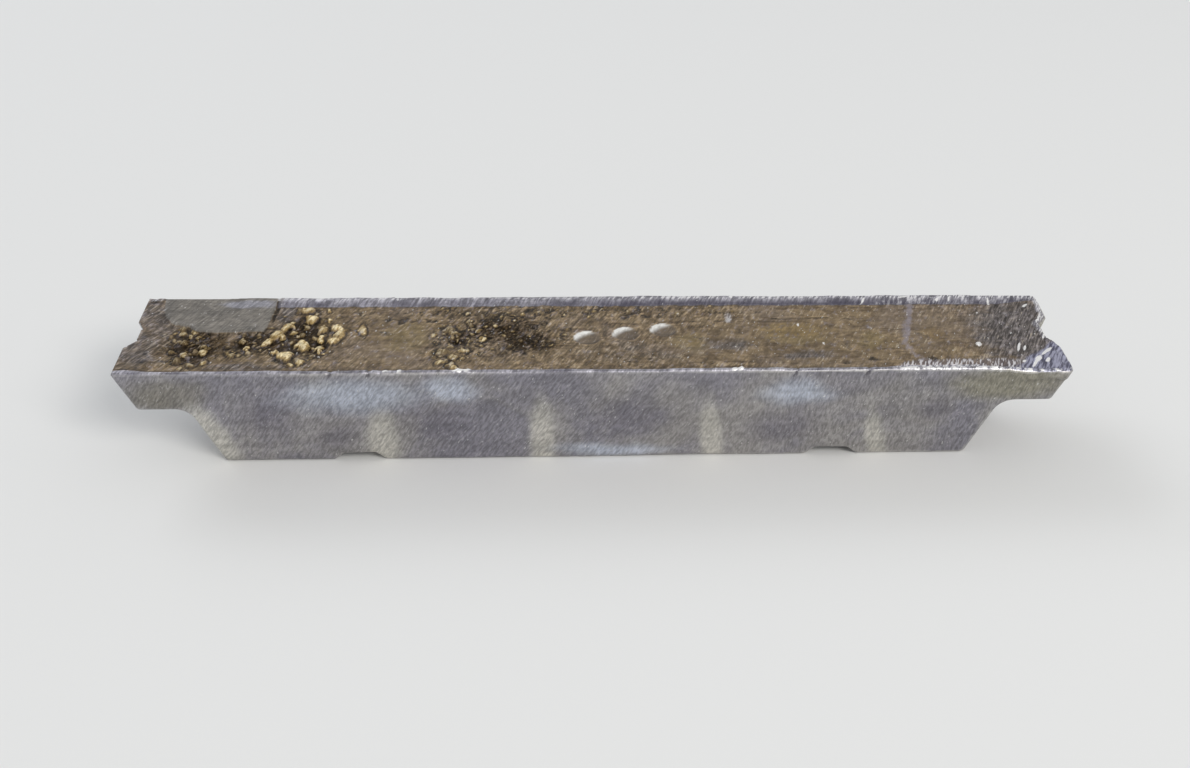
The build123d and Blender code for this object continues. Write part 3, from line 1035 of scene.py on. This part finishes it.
def mark_colour(n, cast):
    """Stamp marks: rubbed grey-brown, with a painted highlight arc on the side facing the key light and
    painted shade on the side away from it.
    """
    rubbed = n.mix(n.times(n.mask("mark"), 0.6), cast, MARK_RUBBED)
    # Painted shade on the side away from the key light
    rubbed = n.mix(n.times(n.mask("hollow"), 0.8), rubbed, MARK_SHADE)
    # Painted highlight arc on the side facing the key light
    arc = n.times(n.mask("crescent"), n.remap(n.fine, 0.36, 0.6, 0.7, 1.0))
    return n.mix(arc, rubbed, MARK_ARC)


def cast_face_colour(n):
    """The crust with its lumps, seam, skimmed patch and stamp marks."""
    cast = crust_colour(n)
    cast = n.mix(n.mask("nodule", n.speck, 0.3, 0.3), cast, lump_colour(n))
    cast = n.mix(n.times(n.mask("seam", n.fine, 1.4, 0.5), 0.6), cast, SEAM_VIOLET)
    cast = n.mix(n.mask("patch", n.fine, 0.25, 0.15), cast, patch_colour(n))
    return mark_colour(n, cast)


def add_bare_metal(n, colour):
    """Silver lip with painted shade at the bank's foot and its bare crest, the facet, the comb, the bright
    scrapes and painted glints.
    """
    silver = n.mix(n.remap(n.patchy, 0.36, 0.62), SILVER_DARK, SILVER_LIGHT)
    uneven = n.times(n.swing(n.streak, 0.4), n.swing(n.fine, 0.2))
    silver = n.shade(silver, n.times(uneven, n.swing(n.long_streak, 0.1)))
    colour = n.mix(n.times(n.lip, 0.9), colour, silver)
    # Painted shade at the foot of the bank
    colour = n.mix(n.times(n.mask("low_bank"), 0.8), colour, BANK_SHADE)
    colour = n.mix(n.times(n.bare, 0.75), colour, n.shade(silver, 1.15))
    colour = n.mix(n.times(n.bare, n.remap(n.streak, 0.48, 0.6), 0.8), colour, BARE_WHITE)
    facet_blue = n.mix(n.remap(n.streak, 0.38, 0.6), FACET_DARK, FACET_LIGHT)
    colour = n.mix(n.times(n.facet, 0.9), colour, facet_blue)
    colour = n.mix(n.times(n.mask("comb"), 0.5), colour, COMB_SHADE)
    comb = n.remap(n.noise(1.3, 1, 0.5, stretch=(1, 7, 3), turn=(0, 0, -16)), 0.48, 0.6)
    colour = n.mix(n.times(n.mask("comb"), comb, 0.85), colour, COMB_LIGHT)
    colour = n.mix(n.times(n.shine, 0.9), colour, BARE_WHITE)
    # Painted glints: small white specks in the colour
    glint = n.remap(n.noise(1.2, 1, 0.5, stretch=(1, 3, 3), turn=(0, 25, -20)), 0.72, 0.78)
    return n.mix(n.times(glint, 0.6), colour, BARE_WHITE)


def lead_relief(n):
    """Fine relief of the lead: clouds, hatching and the grain of the crust."""
    skin = n.bump(n.cloud, 1.2, 0.35)
    skin = n.bump(n.patchy, 0.4, 0.4, skin)
    skin = n.bump(n.fine, 0.2, 0.5, skin)
    skin = n.bump(n.blend(n.cast, n.hatch, n.streak), 0.25, 0.7, skin)
    crust_grain = n.times(n.math("ADD", n.fine, n.speck), n.cast)
    return n.bump(crust_grain, 0.7, 0.8, skin)


def lead_material():
    """Satin grey lead with clouded sides, a brown dross skin on the cast face, bare bright lips, and
    painted highlights and shade.
    """
    material = bpy.data.materials.new("cast_lead")
    n = Nodes(material, "Principled BSDF")
    add_lead_patterns(n)
    colour = add_bare_metal(n, n.mix(n.cast, mould_side_colour(n), cast_face_colour(n)))

    # Clean glossy metal: the marks' arc, whose brightness in the colour is painted highlight, the lip,
    # bare metal, scrapes and facet
    clean = n.mask("crescent")
    for share in (n.lip, n.bare, n.shine, n.facet):
        clean = n.math("MAXIMUM", clean, share)
    dull = n.math("SUBTRACT", n.cast, clean, clamp=True)
    dust = n.blend(dull, CLEAN_DUST, n.blend(n.mask("pit"), CRUST_DUST, 0.0))
    clean_roughness = n.remap(n.patchy, 0.3, 0.7, *CLEAN_ROUGHNESS)
    n.link(n.mix(dust, colour, WHITE), n.shader.inputs["Base Color"])
    n.link(n.blend(dull, CLEAN_METALLIC, CRUST_METALLIC), n.shader.inputs["Metallic"])
    n.link(n.blend(dull, clean_roughness, CRUST_ROUGHNESS), n.shader.inputs["Roughness"])
    n.link(lead_relief(n), n.shader.inputs["Normal"])
    n.link(SPECULAR_LEVEL, n.shader.inputs["Specular IOR Level"])
    return material


def floor_material():
    """Pale floor that is clear from below, so that the base can be looked at."""
    material = bpy.data.materials.new("pale_floor")
    n = Nodes(material, "Principled BSDF")
    n.shader.inputs["Base Color"].default_value = FLOOR_COLOUR
    n.shader.inputs["Roughness"].default_value = FLOOR_ROUGHNESS
    side = n.node("NewGeometry").outputs["Backfacing"]
    clear = n.node("BsdfTransparent").outputs[0]
    n.show("Material Output", side, n.shader.outputs[0], clear)
    return material


def make_floor():
    """Square pale floor, just below the ingot's base."""
    mesh = bpy.data.meshes.new("floor")
    half = FLOOR_HALF_SIZE
    corners = [(-half, -half, 0), (half, -half, 0), (half, half, 0), (-half, half, 0)]
    mesh.from_pydata(corners, [], [(0, 1, 2, 3)])
    floor = add_object("floor", mesh)
    floor.location.z = -FLOOR_DROP
    mesh.materials.append(floor_material())


def make_world():
    """Even pale surroundings, softer as light than to the camera and in reflections."""
    world = bpy.data.worlds.new("studio")
    bpy.context.scene.world = world
    n = Nodes(world, "Background")
    n.shader.inputs["Color"].default_value = SKY_LIGHT
    n.shader.inputs["Strength"].default_value = SKY_STRENGTH
    sky = n.node("Background")
    sky.inputs["Color"].default_value = SKY_SEEN
    ray = n.node("LightPath").outputs
    seen = n.math("MAXIMUM", ray["Is Camera Ray"], ray["Is Glossy Ray"])
    seen = n.math("MAXIMUM", seen, ray["Is Transmission Ray"])
    n.show("World Output", seen, n.shader.outputs[0], sky.outputs[0])


def look_at(thing, place, aim):
    """Puts a lamp or camera at its place, turned to what it aims at."""
    thing.location = place
    thing.rotation_euler = (Vector(aim) - Vector(place)).to_track_quat("-Z", "Y").to_euler()


def area_light(name, place, size, watts, colour):
    """Soft rectangular lamp, turned to the ingot."""
    data = bpy.data.lights.new(name, "AREA")
    data.shape = "RECTANGLE"
    data.size, data.size_y = size
    data.energy = watts
    data.color = colour
    look_at(add_object(name, data), place, LAMP_AIM)


def make_camera():
    """The photograph's camera, turned to the middle of the ingot."""
    data = bpy.data.cameras.new("camera")
    data.sensor_width = CAMERA_SENSOR
    data.lens = CAMERA_LENS
    camera = add_object("camera", data)
    look_at(camera, CAMERA_PLACE, CAMERA_AIM)
    bpy.context.scene.camera = camera


ingot = even_skin()
shape_skin(ingot)
ingot.data.materials.clear()
ingot.data.materials.append(lead_material())
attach(ingot, "root")
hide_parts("ingot")

make_floor()
make_world()
for lamp_name, settings in LAMPS.items():
    area_light(lamp_name, *settings)
make_camera()

bpy.context.scene.view_settings.view_transform = "Standard"
